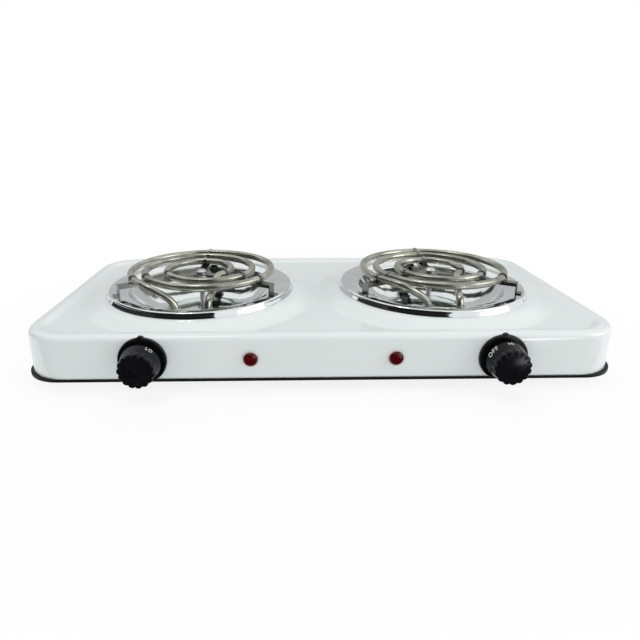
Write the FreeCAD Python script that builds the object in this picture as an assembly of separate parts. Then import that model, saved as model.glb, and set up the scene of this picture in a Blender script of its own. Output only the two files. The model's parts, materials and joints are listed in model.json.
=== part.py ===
import FreeCAD, Part
import math
import os
from FreeCAD import Vector

# A free-standing electric hot plate with two coil burners.
# Millimetres. X runs to the right, Y to the back, Z up. Shapes are made about the housing's centre line,
# standing on Z = 0, and export_node moves them so that the origin is under the middle of the whole box.

# Base plate and feet
ground_clearance = 7.2
base_flange_height = 2.0
base_sheet = 0.8
base_ledge = 0.7
base_corner_radius = 30.0
foot_radius = 9.0
foot_inset_x = 40.0
foot_inset_y = 36.0
vent_length = 46.0
vent_width = 4.0
vent_pitch = 11.0
vents_per_burner = 5
end_flat = 0.01

# Housing shell
housing_width = 455.5
housing_depth = 232.5
housing_corner_radius = 34.0
wall_height = 33.9
housing_sheet = 0.8
top_edge_radius = 4.0
rim_width = 8.0
rim_slope_width = 5.5
deck_drop = 2.3
mound_shelf_width = 5.0
mound_slope_width = 15.0
mound_rise = 5.5
burner_lip_depth = 4.0
tab_size = 13.0
tab_margin = 20.25

# Burners
burner_spacing = 210.5
burner_forward = 6.9
pan_sheet = 0.6
pan_flange_radius = 84.0
pan_flange_height = 4.8
pan_flange_flare = 2.0
pan_edge_radius = 1.4
pan_crease_radius = 75.6
pan_slope_drop = 2.7
bowl_edge_radius = 65.5
bowl_floor_radius = 28.0
bowl_depth = 22.3
burner_hole_gap = 5.0

# Heating coil: the radius of the tube's centre line where it crosses the left and the right in turn
coil_tube_radius = 3.1
coil_rise = 9.5
coil_radii = [62.0, 64.0, 49.5, 46.5, 30.0, 27.0]
lead_turn_angle = 38.0
outer_lead_bend = 20.0
inner_lead_bend = 12.0
inner_lead_run = 6.0
lead_dip_side = 2.5
lead_dip_reach = 5.0
lead_clearance = 2.0
lead_sink = 1.0
leg_spacing = 25.0
leg_forward = 53.5
leg_hole_gap = 1.3
leg_below_pan = 13.0
pin_radius = 1.3
pin_length = 9.0
bead_radius = 4.6
bead_length = 5.0
bead_sleeve = 2.0
bead_chamfer = 1.0
terminal_size = 4.4

# Coil support and its clamp
arm_angles = [90.0, 210.0, 330.0]
arm_width = 7.5
arm_sheet = 1.0
arm_web = 3.0
hub_radius = 9.0
toe_length = 4.0
clip_sheet = 0.6
clip_width = 3.0
bolt_radius = 2.5
bolt_head_radius = 4.6
bolt_head_height = 3.0
bolt_end_reach = 1.0
nut_across_corners = 9.2
nut_height = 4.0
bridge_width = 20.0
bridge_sheet = 1.5
bridge_end_length = 7.0
bridge_hole_margin = 3.0
bridge_slant = 0.8

# Knobs and thermostats
knob_beyond_burner = 28.25
control_height = 25.2
bezel_radius = 17.9
bezel_height = 3.0
bezel_floor = 1.2
bezel_ring_width = 1.6
pointer_reach = 1.4
pointer_width = 3.6
knob_gap = 4.0
knob_length = 15.2
skirt_radius = 14.9
skirt_front_radius = 11.6
grip_radius = 13.5
grip_valley_depth = 1.2
grip_length = 9.0
grip_lobes = 15
knob_front_round = 1.6
knob_face_thickness = 4.5
knob_skirt_wall = 3.0
knob_nut_room = 1.0
spindle_end_gap = 0.5
spindle_radius = 3.0
spindle_flat_depth = 1.0
bush_radius = 4.5
bush_nut_height = 2.4
bush_nut_margin = 5.0
journal_step = 0.3
frame_sheet = 1.5
frame_width = 24.0
frame_top = 9.0
frame_bottom = 12.5
shelf_depth = 19.0
stack_radius = 4.5
stack_offset = 10.5
post_radius = 1.5
post_end = 0.8
lower_disc_height = 2.2
top_disc_height = 3.0
blade_sheet = 0.5
blade_width = 6.0
blade_tab_reach = 19.0
blade_tail_reach = 6.0
cam_radius = 3.4
cam_throw = 0.3
cam_length = 4.0
cam_gap = 0.4

# Indicator lamps
lamp_spacing = 108.0
lamp_height = 25.0
lamp_ring_radius = 6.4
lamp_ring_height = 1.0
lamp_tube_radius = 4.6
lamp_tube_length = 15.0
lamp_tube_floor = 1.5
lamp_ring_round = 0.4
lens_radius = 5.4
lens_dome = 3.2
lens_shank_radius = 3.4
lamp_clip_radius = 8.0
lamp_clip_sheet = 0.8

# Supply
gland_radius = 9.0
gland_flange = 3.0
gland_bore = 4.0
gland_length = 16.0
gland_height = 24.0
gland_chamfer = 1.0
gland_barb = 1.0
gland_barb_step = 0.1
gland_taper = 0.5
block_width = 40.0
block_depth = 18.0
block_height = 12.0
block_from_back = 46.0
pole_count = 4
pole_wall = 2.0
pole_floor = 2.0
pole_seat_height = 7.8
pole_screw_length = 4.8
pole_head_radius = 3.0
wire_radius = 1.2
wire_height = 13.6
wire_bend = 12.0
wire_run_in = 20.0
wire_tab_run = 18.0
wire_leg_run = 12.0
neutral_leg_run = 16.0
live_side_run = 70.0
neutral_side_run = 40.0
neutral_back_run = 30.0

# Fasteners and fits
screw_radius = 1.7
screw_head_radius = 3.4
screw_head_height = 2.0
screw_length = 7.0
foot_screw_extra = 1.0
hole_gap = 0.2
ledge_gap = 0.4
seat_gap = 0.05
turn_gap = 0.05
clip_gap = 0.15
stack_gap = 0.5

# Levels and places worked out from the sizes above
base_top = ground_clearance + base_flange_height
rim_top = base_top + wall_height
deck_top = rim_top - deck_drop
mound_top = deck_top + mound_rise
pan_top = mound_top + pan_flange_height
pan_floor = pan_top - pan_slope_drop - bowl_depth
coil_level = pan_top + coil_rise + coil_tube_radius
arm_top = coil_level - coil_tube_radius - seat_gap
half_depth = housing_depth / 2
mound_foot_radius = pan_flange_radius + mound_shelf_width + mound_slope_width
burner_hole_radius = pan_flange_radius - pan_flange_flare - burner_hole_gap
bowl_arc_radius = ((bowl_edge_radius - bowl_floor_radius) ** 2 + bowl_depth ** 2) / (2 * bowl_depth)
bowl_edge_angle = math.asin((bowl_edge_radius - bowl_floor_radius) / bowl_arc_radius)
knob_back = bezel_height + knob_gap
front_reach = half_depth + knob_back + knob_length
rear_reach = half_depth + max(base_ledge, gland_flange)
to_box_centre = Vector(0, (front_reach - rear_reach) / 2, 0)
side_names = {-1: "left", 1: "right"}

os.makedirs("parts", exist_ok=True)


def export_node(name, *solids):
    """Write one named piece, or a group of like pieces, in the frame of the whole object."""
    moved = [solid.translated(to_box_centre) for solid in solids]
    shape = moved[0] if len(moved) == 1 else Part.makeCompound(moved)
    shape.exportStep("parts/" + name + ".step")


def fused(shapes):
    """Join shapes into one clean solid."""
    shape = shapes[0].fuse(shapes[1:]).removeSplitter()
    return shape.Solids[0] if len(shape.Solids) == 1 else shape


def cylinder(radius, height, x=0.0, y=0.0, z=0.0, axis=Vector(0, 0, 1)):
    """A round bar from the given point along the axis."""
    return Part.makeCylinder(radius, height, Vector(x, y, z), axis)


def block(low_x, high_x, low_y, high_y, low_z, high_z):
    """A box between two corners."""
    size = (high_x - low_x, high_y - low_y, high_z - low_z)
    return Part.makeBox(*size, Vector(low_x, low_y, low_z))


def rounded_rectangle(width, depth, radius, z):
    """A wire of four sides and four corner arcs, centred on the Z axis."""
    edges = []
    ends = []
    for turn, (sign_x, sign_y) in enumerate([(1, 1), (-1, 1), (-1, -1), (1, -1)]):
        centre = Vector(sign_x * (width / 2 - radius), sign_y * (depth / 2 - radius), z)
        angles = [math.radians(90 * turn + step) for step in (0, 45, 90)]
        points = [centre + Vector(radius * math.cos(a), radius * math.sin(a), 0) for a in angles]
        edges.append(Part.Arc(*points).toShape())
        ends.append((points[0], points[2]))
    sides = [Part.makeLine(ends[i][1], ends[(i + 1) % 4][0]) for i in range(4)]
    return Part.Wire([edge for pair in zip(edges, sides) for edge in pair])


def turned(edges):
    """Revolve a closed outline in the XZ plane about the Z axis."""
    return Part.Face(Part.Wire(edges)).revolve(Vector(0, 0, 0), Vector(0, 0, 1), 360)


def outline(points):
    """Straight edges of a closed outline through (radius, height) points."""
    corners = [Vector(radius, 0, height) for radius, height in points]
    return [Part.makeLine(a, b) for a, b in zip(corners, corners[1:] + corners[:1])]


def turned_points(points):
    """Revolve a straight-sided outline of (radius, height) points about the Z axis."""
    return turned(outline(points))


def hexagon(across_corners, height, z):
    """A six-sided nut blank."""
    corners = [Vector(across_corners / 2 * math.cos(math.radians(60 * i)),
                      across_corners / 2 * math.sin(math.radians(60 * i)), z) for i in range(7)]
    return Part.Face(Part.makePolygon(corners)).extrude(Vector(0, 0, height))


def rounded_path(points, bend):
    """Edges of straight runs joined by tangent arcs of the given bend, less where a run is short."""
    edges = []
    start = points[0]
    for before, corner, after in zip(points, points[1:], points[2:]):
        arriving = (corner - before).normalize()
        leaving = (after - corner).normalize()
        half_turn = arriving.getAngle(leaving) / 2
        shorter_run = min((corner - before).Length, (after - corner).Length)
        reach = min(bend * math.tan(half_turn), 0.45 * shorter_run)
        radius = reach / math.tan(half_turn)
        first = corner - arriving * reach
        last = corner + leaving * reach
        to_centre = (leaving - arriving).normalize()
        middle = corner + to_centre * (radius / math.cos(half_turn) - radius)
        edges.append(Part.makeLine(start, first))
        edges.append(Part.Arc(first, middle, last).toShape())
        start = last
    edges.append(Part.makeLine(start, points[-1]))
    return edges


def tube(edges, radius):
    """Sweep a round section along tangent edges that are in order."""
    first = edges[0]
    start = first.valueAt(first.FirstParameter)
    heading = first.tangentAt(first.FirstParameter)
    section = Part.Wire(Part.makeCircle(radius, start, heading))
    return Part.Wire(edges).makePipeShell([section], True, False)


def on_front(shape, x, height):
    """Turn a piece made with +Z outwards and +Y upwards onto the front wall."""
    turned_out = shape.rotated(Vector(0, 0, 0), Vector(1, 0, 0), 90)
    return turned_out.translated(Vector(x, -half_depth, height))


def burner_place(side):
    """Where a burner's axis stands."""
    return Vector(side * burner_spacing / 2, -burner_forward, 0)


def control_x(side):
    """Where a knob stands along the front."""
    return side * (burner_spacing / 2 + knob_beyond_burner)


def lamp_x(side):
    """Where a lamp stands along the front."""
    return side * lamp_spacing / 2


def tab_centres():
    """Centres of the four fixing tabs at the wall's foot."""
    x = control_x(1) + frame_width / 2 + tab_margin
    y = half_depth - tab_size / 2
    return [Vector(sx * x, sy * y, 0) for sx in (-1, 1) for sy in (-1, 1)]


def foot_centres():
    """Centres of the four feet, by name."""
    x = housing_width / 2 - foot_inset_x
    y = half_depth - foot_inset_y
    ends = {"front": -1, "rear": 1}
    return {"foot_" + end + "_" + side_names[sx]: Vector(sx * x, ends[end] * y, 0)
            for end in ends for sx in (-1, 1)}


# Housing

def housing_envelope(inset):
    """The space under the pressed top, with every face moved inwards by inset."""
    width = housing_width - 2 * inset
    depth = housing_depth - 2 * inset
    foot = base_top - inset
    body = Part.Face(rounded_rectangle(width, depth, housing_corner_radius - inset, foot))
    body = body.extrude(Vector(0, 0, rim_top - inset - foot))
    top_edges = [edge for edge in body.Edges if edge.BoundBox.ZMin > rim_top - inset - 0.01]
    body = body.makeFillet(top_edge_radius - inset, top_edges)
    slope_foot = rim_width + rim_slope_width
    pocket_mouth = rounded_rectangle(housing_width - 2 * rim_width, housing_depth - 2 * rim_width,
                                     housing_corner_radius - rim_width, rim_top - inset)
    pocket_floor = rounded_rectangle(housing_width - 2 * slope_foot, housing_depth - 2 * slope_foot,
                                     housing_corner_radius - slope_foot, deck_top - inset)
    body = body.cut(Part.makeLoft([pocket_floor, pocket_mouth], True, True))
    return fused([body] + [mound(side, inset) for side in side_names])


def mound(side, inset):
    """A low cone that lifts the deck round a burner, rooted below the deck."""
    slope = mound_rise / mound_slope_width
    root = deck_drop
    root_radius = mound_foot_radius + root / slope
    reach = half_depth - burner_forward - inset - top_edge_radius
    cone = Part.makeCone(root_radius, mound_foot_radius - mound_slope_width, root + mound_rise,
                         Vector(0, 0, deck_top - root - inset))
    return cone.common(cylinder(reach, rim_top, z=base_top)).translated(burner_place(side))


def make_housing():
    """The pressed steel top with its burner holes, control holes and fixing tabs."""
    shell = housing_envelope(0).cut(housing_envelope(housing_sheet))
    additions = []
    cuts = []
    for side in side_names:
        centre = burner_place(side)
        lip = cylinder(burner_hole_radius + housing_sheet, burner_lip_depth, z=mound_top - burner_lip_depth)
        additions.append(lip.translated(centre))
        opening = cylinder(burner_hole_radius, mound_top - base_top, z=base_top + deck_drop)
        cuts.append(opening.translated(centre))
        bush_hole = cylinder(bush_radius + hole_gap, 4 * housing_sheet, z=-2 * housing_sheet)
        cuts.append(on_front(bush_hole, control_x(side), control_height))
        lamp_hole = cylinder(lamp_tube_radius + hole_gap, 4 * housing_sheet, z=-2 * housing_sheet)
        cuts.append(on_front(lamp_hole, lamp_x(side), lamp_height))
    for centre in tab_centres():
        half = tab_size / 2
        tab = block(-half, half, -half, half, base_top, base_top + housing_sheet)
        additions.append(tab.translated(centre))
        cuts.append(cylinder(screw_radius + hole_gap, 2 * housing_sheet, z=base_top - housing_sheet / 2)
                    .translated(centre))
    gland_neck = gland_radius - gland_flange / 2
    cuts.append(cylinder(gland_neck + hole_gap, 4 * housing_sheet, 0, half_depth - 2 * housing_sheet,
                         gland_height, Vector(0, 1, 0)))
    shell = fused([shell] + additions)
    return shell.cut(Part.makeCompound(cuts)).removeSplitter()


# Base plate, feet and screws

def make_base_plate():
    """A shallow pan turned upside down, with cooling slots and holes for its screws."""
    width = housing_width + 2 * base_ledge
    depth = housing_depth + 2 * base_ledge
    outer = Part.Face(rounded_rectangle(width, depth, base_corner_radius, ground_clearance))
    plate = outer.extrude(Vector(0, 0, base_flange_height))
    inner = Part.Face(rounded_rectangle(width - 2 * base_sheet, depth - 2 * base_sheet,
                                        base_corner_radius - base_sheet, ground_clearance))
    cuts = [inner.extrude(Vector(0, 0, base_flange_height - base_sheet))]
    for side in side_names:
        for row in range(vents_per_burner):
            y = (row - (vents_per_burner - 1) / 2) * vent_pitch
            end_round = vent_width / 2 - end_flat
            slot = Part.Face(rounded_rectangle(vent_length, vent_width, end_round, ground_clearance))
            cuts.append(slot.extrude(Vector(0, 0, 2 * base_flange_height))
                        .translated(burner_place(side) + Vector(0, y, 0)))
    for centre in tab_centres() + list(foot_centres().values()) + [earth_centre()]:
        cuts.append(cylinder(screw_radius + hole_gap, 2 * base_flange_height, z=ground_clearance)
                    .translated(centre))
    return plate.cut(Part.makeCompound(cuts))


def make_foot():
    """A tapered rubber foot with a pocket for its screw's head."""
    height = base_top - base_sheet
    bore = screw_radius + hole_gap
    pocket = screw_head_radius + 2 * hole_gap
    pocket_depth = height / 2
    return turned_points([(pocket, 0), (foot_radius - 1.0, 0), (foot_radius, 1.0), (foot_radius, height),
                          (bore, height), (bore, pocket_depth), (pocket, pocket_depth)])


def make_screw(head_seat, length):
    """A pan-head screw that points up, with the underside of its head at head_seat."""
    low = head_seat - screw_head_height
    chamfer = screw_head_height / 2
    return turned_points([(0, low), (screw_head_radius - chamfer, low), (screw_head_radius, low + chamfer),
                          (screw_head_radius, head_seat), (screw_radius, head_seat),
                          (screw_radius, head_seat + length), (0, head_seat + length)])


# Burner

def make_drip_pan():
    """A pressed pan: flared edge, flat ring, shallow slope and round bowl, all of one sheet."""
    sheet = pan_sheet
    bowl_centre = Vector(bowl_floor_radius, 0, pan_floor + bowl_arc_radius)
    top_radius = pan_flange_radius - pan_flange_flare

    def on_bowl(radius, angle):
        return bowl_centre + Vector(radius * math.sin(angle), 0, -radius * math.cos(angle))

    def face_edges(offset):
        """The upper face for offset 0 and the lower face for one sheet, from the axis out to the foot."""
        bowl = [on_bowl(bowl_arc_radius + offset, bowl_edge_angle * share) for share in (0, 0.5, 1)]
        crease = Vector(pan_crease_radius, 0, pan_top - offset)
        round_radius = pan_edge_radius - offset
        round_centre = Vector(top_radius - pan_edge_radius, 0, pan_top - pan_edge_radius)
        turns = [round_centre + Vector(round_radius * math.sin(a), 0, round_radius * math.cos(a))
                 for a in (0, math.pi / 4, math.pi / 2)]
        foot = Vector(pan_flange_radius - offset, 0, mound_top)
        floor = Vector(0, 0, pan_floor - offset)
        edges = [Part.makeLine(floor, bowl[0]), Part.Arc(*bowl).toShape(), Part.makeLine(bowl[2], crease),
                 Part.makeLine(crease, turns[0]), Part.Arc(*turns).toShape(), Part.makeLine(turns[2], foot)]
        return edges, floor, foot

    upper, upper_floor, upper_foot = face_edges(0)
    lower, lower_floor, lower_foot = face_edges(sheet)
    ends = [Part.makeLine(upper_foot, lower_foot), Part.makeLine(lower_floor, upper_floor)]
    pan = turned(Part.__sortEdges__(upper + lower + ends))
    cuts = [cylinder(bolt_radius + hole_gap, 4 * sheet, z=pan_floor - 2 * sheet)]
    for end in (-1, 1):
        cuts.append(cylinder(coil_tube_radius + leg_hole_gap, bowl_depth, end * leg_spacing / 2, -leg_forward,
                             pan_floor))
    return pan.cut(Part.makeCompound(cuts))


def coil_leg_foot():
    """Height of the lower ends of the coil's legs."""
    radius = math.hypot(leg_spacing / 2, leg_forward)
    rise = bowl_arc_radius - math.sqrt(bowl_arc_radius ** 2 - (radius - bowl_floor_radius) ** 2)
    return pan_floor + rise - leg_below_pan


def on_round(radius, angle):
    """A point on a circle about the burner's axis, level with the coil."""
    turn = math.radians(angle)
    return Vector(radius * math.cos(turn), radius * math.sin(turn), coil_level)


def coil_path():
    """Edges of the coil's centre line: outer lead, half turns that close in, inner lead."""
    leg_x = leg_spacing / 2
    foot = coil_leg_foot()
    outer = coil_radii[0]
    inner = coil_radii[-1]
    turn = lead_turn_angle
    lead_level = pan_top - lead_sink
    dip_level = coil_level - 2 * coil_tube_radius - lead_clearance
    outer_leave = on_round(outer, 180 + turn)
    outer_heading = on_round(1, 270 + turn) - Vector(0, 0, coil_level)
    outer_bend = outer_leave + outer_heading * ((leg_forward + outer_leave.y) / -outer_heading.y)
    outer_lead = [Vector(-leg_x, -leg_forward, foot), Vector(-leg_x, -leg_forward, lead_level), outer_bend,
                  outer_leave]
    edges = rounded_path(outer_lead, outer_lead_bend)
    edges.append(Part.Arc(outer_leave, on_round(outer, 180 + turn / 2), on_round(outer, 180)).toShape())
    for step, (start, end) in enumerate(zip(coil_radii, coil_radii[1:])):
        side = -1 if step % 2 == 0 else 1
        middle = Vector(side * (start - end) / 2, -side * (start + end) / 2, coil_level)
        last = Vector(-side * end, 0, coil_level)
        edges.append(Part.Arc(Vector(side * start, 0, coil_level), middle, last).toShape())
    inner_leave = on_round(inner, -turn)
    inner_heading = on_round(1, 270 - turn) - Vector(0, 0, coil_level)
    edges.append(Part.Arc(on_round(inner, 0), on_round(inner, -turn / 2), inner_leave).toShape())
    dip = Vector(leg_x + lead_dip_side, -inner - lead_dip_reach, dip_level)
    inner_lead = [inner_leave, inner_leave + inner_heading * inner_lead_run, dip,
                  Vector(leg_x, -leg_forward, lead_level), Vector(leg_x, -leg_forward, foot)]
    return edges + rounded_path(inner_lead, inner_lead_bend)


def coil_self_gap():
    """Least gap between parts of the coil's tube that aren't neighbours, measured on points."""
    spacing = 2.0
    points = [point for edge in coil_path() for point in edge.discretize(Distance=spacing)]
    neighbours = int(5 * coil_tube_radius / spacing) + 6
    least = min((a - b).Length for i, a in enumerate(points) for b in points[i + neighbours:])
    return least - 2 * coil_tube_radius


def turn_crossings(angle):
    """Where the coil's centre line passes over an arm: place and heading, from the edges themselves."""
    heading = Vector(math.cos(math.radians(angle)), math.sin(math.radians(angle)), 0)
    ray = Part.makeLine(heading * hub_radius + Vector(0, 0, coil_level),
                        heading * pan_crease_radius + Vector(0, 0, coil_level))
    crossings = []
    for edge in coil_path():
        gap, pairs, details = edge.distToShape(ray)
        if gap < 0.01 and abs(pairs[0][0].z - coil_level) < 0.01:
            place = pairs[0][0]
            crossings.append((place, edge.tangentAt(edge.Curve.parameter(place))))
    return crossings


def make_clip(place, along):
    """A thin strap bent over the tube, standing on the arm with a leg at each side."""
    inner = coil_tube_radius + clip_gap
    outer = inner + clip_sheet
    leg = coil_level - arm_top
    half = clip_width / 2
    strap = cylinder(outer, clip_width).cut(cylinder(inner, clip_width))
    strap = strap.common(block(-outer, outer, 0, outer, 0, clip_width))
    legs = [block(side * (inner + outer) / 2 - clip_sheet / 2, side * (inner + outer) / 2 + clip_sheet / 2,
                  -leg, 0, 0, clip_width) for side in (-1, 1)]
    clip = fused([strap] + legs).translated(Vector(0, 0, -half))
    clip.rotate(Vector(0, 0, 0), Vector(1, 0, 0), 90)
    clip.rotate(Vector(0, 0, 0), Vector(0, 0, 1), math.degrees(math.atan2(along.y, along.x)) - 90)
    return clip.translated(place)


def make_coil_support():
    """Three pressed arms from a hub: each is a channel, turned down at its end to a toe on the pan."""
    end = pan_crease_radius
    half = arm_width / 2
    pieces = [cylinder(hub_radius, arm_sheet, z=arm_top - arm_sheet)]
    for angle in arm_angles:
        strip = block(0, end, -half, half, arm_top - arm_sheet, arm_top)
        drop = block(end - arm_sheet, end, -half, half, pan_top, arm_top)
        toe = block(end - arm_sheet, end + toe_length, -half, half, pan_top, pan_top + arm_sheet)
        webs = [block(hub_radius, end, side * half - (arm_sheet if side > 0 else 0),
                      side * half + (0 if side > 0 else arm_sheet),
                      arm_top - arm_web, arm_top) for side in (-1, 1)]
        arm = fused([strip, drop, toe] + webs)
        pieces.append(arm.rotated(Vector(0, 0, 0), Vector(0, 0, 1), angle))
    return fused(pieces).cut(cylinder(bolt_radius + hole_gap, 2 * arm_sheet, z=arm_top - 1.5 * arm_sheet))


def bridge_top():
    """Upper face of the bridge where it lies under the pan's floor."""
    return pan_floor - pan_sheet


def make_bridge():
    """A strap under the pan whose ends bear on the deck, so that one bolt pulls the burner down."""
    low = bridge_top()
    high = mound_top - housing_sheet
    end = burner_hole_radius + housing_sheet + bridge_hole_margin
    bend = end - (high - low) * bridge_slant
    upper = [(-end - bridge_end_length, high), (-end, high), (-bend, low), (bend, low), (end, high),
             (end + bridge_end_length, high)]
    lower = [(x, z - bridge_sheet) for x, z in reversed(upper)]
    corners = [Vector(x, -bridge_width / 2, z) for x, z in upper + lower]
    strap = Part.Face(Part.makePolygon(corners + corners[:1])).extrude(Vector(0, bridge_width, 0))
    return strap.cut(cylinder(bolt_radius + hole_gap, 3 * bridge_sheet, z=low - 2 * bridge_sheet))


def make_bolt():
    """A round-head bolt from the hub down through the pan and the bridge."""
    low = bridge_top() - bridge_sheet - nut_height - bolt_end_reach
    chamfer = bolt_head_height / 2
    return turned_points([(0, low), (bolt_radius, low), (bolt_radius, arm_top), (bolt_head_radius, arm_top),
                          (bolt_head_radius, arm_top + chamfer),
                          (bolt_head_radius - chamfer, arm_top + bolt_head_height),
                          (0, arm_top + bolt_head_height)])


def make_burner_nut():
    """The nut that draws the bridge up."""
    low = bridge_top() - bridge_sheet - nut_height
    nut = hexagon(nut_across_corners, nut_height, low)
    return nut.cut(cylinder(bolt_radius + seat_gap, nut_height, z=low))


def leg_places():
    """Axes of the two legs of a coil."""
    return [Vector(end * leg_spacing / 2, -leg_forward, 0) for end in (-1, 1)]


def make_bead():
    """A ceramic collar on a leg's end."""
    foot = coil_leg_foot()
    low = foot + bead_sleeve - bead_length
    high = foot + bead_sleeve
    sleeve = coil_tube_radius + seat_gap
    bore = pin_radius + seat_gap
    return turned_points([(bore, low), (bead_radius - bead_chamfer, low), (bead_radius, low + bead_chamfer),
                          (bead_radius, high), (sleeve, high), (sleeve, foot), (bore, foot)])


def make_pin():
    """A cold pin below a leg, with a square terminal that takes the wire."""
    foot = coil_leg_foot()
    half = terminal_size / 2
    low = foot - pin_length
    pin = cylinder(pin_radius, pin_length, z=low)
    terminal = block(-half, half, -half, half, low, low + terminal_size)
    return fused([pin, terminal])


# Knobs and thermostats, made with +Z outwards from the wall and +Y upwards

def make_bezel():
    """A dished ring on the wall with a pointer at its top and a flat above the base plate's ledge."""
    bore = bush_radius + hole_gap
    inner = bezel_radius - bezel_ring_width
    edge = bezel_ring_width / 2
    dish = turned_points([(bore, 0), (bezel_radius, 0), (bezel_radius, bezel_height - edge),
                          (bezel_radius - edge, bezel_height), (inner, bezel_height), (inner, bezel_floor),
                          (bore, bezel_floor)])
    half = pointer_width / 2
    corners = [Vector(-half, inner, 0), Vector(half, inner, 0), Vector(0.5, bezel_radius + pointer_reach, 0),
               Vector(-0.5, bezel_radius + pointer_reach, 0)]
    pointer = Part.Face(Part.makePolygon(corners + corners[:1])).extrude(Vector(0, 0, bezel_height))
    pointer = pointer.cut(cylinder(inner, bezel_height))
    flat = base_top + ledge_gap - control_height
    above_ledge = block(-bezel_radius, bezel_radius, flat, bezel_radius + pointer_reach, 0, bezel_height)
    return fused([dish, pointer]).common(above_ledge)


def grip_outline(z):
    """A ring of round lobes with narrow valleys between them."""
    valley = grip_radius - grip_valley_depth
    step = 2 * math.pi / grip_lobes

    def at(radius, angle):
        return Vector(radius * math.cos(angle), radius * math.sin(angle), z)

    lobes = [Part.Arc(at(valley, step * i), at(grip_radius, step * (i + 0.5)), at(valley, step * (i + 1)))
             for i in range(grip_lobes)]
    return Part.Wire([lobe.toShape() for lobe in lobes])


def make_knob():
    """A conical skirt with a lobed grip in front, hollow behind for the nut and bored for the spindle."""
    front = knob_back + knob_length
    skirt = Part.makeCone(skirt_radius, skirt_front_radius, knob_length, Vector(0, 0, knob_back))
    grip = Part.Face(grip_outline(front - grip_length)).extrude(Vector(0, 0, grip_length))
    dome = turned_points([(0, knob_back), (grip_radius + skirt_radius, knob_back),
                          (grip_radius + skirt_radius, front - knob_front_round - skirt_radius),
                          (grip_radius - knob_front_round, front), (0, front)])
    knob = fused([skirt, grip]).common(dome)
    hollow = cylinder(skirt_radius - knob_skirt_wall, bush_nut_height + knob_nut_room, z=knob_back)
    bore_depth = knob_length - knob_face_thickness + spindle_end_gap
    return knob.cut(Part.makeCompound([hollow, spindle_bar(spindle_radius + turn_gap, knob_back,
                                                           bore_depth, turn_gap)]))


def spindle_bar(radius, low, length, gap):
    """A round bar with a flat along one side."""
    flat = spindle_radius - spindle_flat_depth + gap
    return cylinder(radius, length, z=low).common(block(-radius, radius, -radius, flat, low, low + length))


def bush_front():
    """Outer end of the thermostat's threaded bush."""
    return bezel_floor + bush_nut_height


def frame_back():
    """Inner face of the thermostat's mounting plate."""
    return -housing_sheet - frame_sheet


def make_spindle():
    """The thermostat's shaft: a flatted end in the knob, a plain journal and a cam behind the plate."""
    knob_end = knob_back + knob_length - knob_face_thickness
    journal_end = bush_front() + journal_step
    journal = cylinder(spindle_radius, journal_end - frame_back() + cam_length, z=frame_back() - cam_length)
    flatted = spindle_bar(spindle_radius, journal_end, knob_end - journal_end, 0)
    cam = cylinder(cam_radius, cam_length, 0, -cam_throw, frame_back() - turn_gap * 4 - cam_length)
    return fused([journal, flatted, cam])


def make_bush_nut():
    """A flat nut that clamps the bezel, the wall and the thermostat."""
    nut = hexagon(2 * bush_radius + bush_nut_margin, bush_nut_height, bezel_floor)
    return nut.cut(cylinder(bush_radius + seat_gap, bush_nut_height, z=bezel_floor))


def stack_levels():
    """Heights of the ceramic discs and blades on the post: pairs of bottom and top."""
    shelf = -frame_bottom + frame_sheet
    upper_top = -(cam_radius + cam_throw + cam_gap)
    upper = upper_top - blade_sheet
    lower = shelf + lower_disc_height
    lower_top = lower + blade_sheet
    discs = [(shelf, lower), (lower_top, upper), (upper_top, upper_top + top_disc_height)]
    return discs, [(lower, lower_top), (upper, upper_top)]


def stack_depth():
    """How far behind the wall's face the stack's axis stands."""
    return frame_back() - stack_radius - stack_gap


def standing(shape, x):
    """Stand a piece made along +Z upright on the thermostat's shelf, which is along +Y here."""
    upright = shape.rotated(Vector(0, 0, 0), Vector(1, 0, 0), -90)
    return upright.translated(Vector(x, 0, stack_depth()))


def make_thermostat_frame(inward):
    """A bent plate with a bush through the wall, a shelf behind and a post for the stack."""
    half = frame_width / 2
    back = frame_back()
    plate = block(-half, half, -frame_bottom, frame_top, back, -housing_sheet)
    shelf = block(-half, half, -frame_bottom, -frame_bottom + frame_sheet, back - shelf_depth, back)
    bush = cylinder(bush_radius, bush_front() - back - seat_gap, z=back)
    discs, blades = stack_levels()
    post_low = -frame_bottom + frame_sheet / 2
    post = cylinder(post_radius, discs[-1][1] + post_end - post_low, z=post_low)
    frame = fused([plate, shelf, bush, standing(post, inward * stack_offset)])
    bore = cylinder(spindle_radius + turn_gap, bush_front() - back + 2 * frame_sheet, z=back - frame_sheet)
    return frame.cut(bore)


def make_stack(inward):
    """Ceramic discs threaded on the post, above, between and below the blades."""
    bore = post_radius + hole_gap
    discs, blades = stack_levels()
    return [standing(turned_points([(bore, low), (stack_radius, low), (stack_radius, high), (bore, high)]),
                     inward * stack_offset) for low, high in discs]


def make_blades(inward):
    """Two flat contact springs with their tabs towards the middle of the housing."""
    half = blade_width / 2
    reach = sorted([-inward * blade_tail_reach, inward * blade_tab_reach])
    discs, blades = stack_levels()
    shapes = []
    for low, high in blades:
        strip = block(reach[0], reach[1], low, high, stack_depth() - half, stack_depth() + half)
        hole = standing(cylinder(post_radius + hole_gap, high - low + 2, z=low - 1), inward * stack_offset)
        shapes.append(strip.cut(hole))
    return shapes


# Lamps, made the same way as the controls

def make_lamp_body():
    """A pale ring against the wall with a tube through it."""
    low = -housing_sheet - lamp_tube_length
    floor = low + lamp_tube_floor
    seat = lamp_ring_height
    bore = lens_shank_radius + hole_gap
    ring = lamp_ring_radius
    return turned_points([(bore, floor), (bore, seat), (ring - lamp_ring_round, seat),
                          (ring, seat - lamp_ring_round), (ring, 0), (lamp_tube_radius, 0),
                          (lamp_tube_radius, low), (0, low), (0, floor)])


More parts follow.
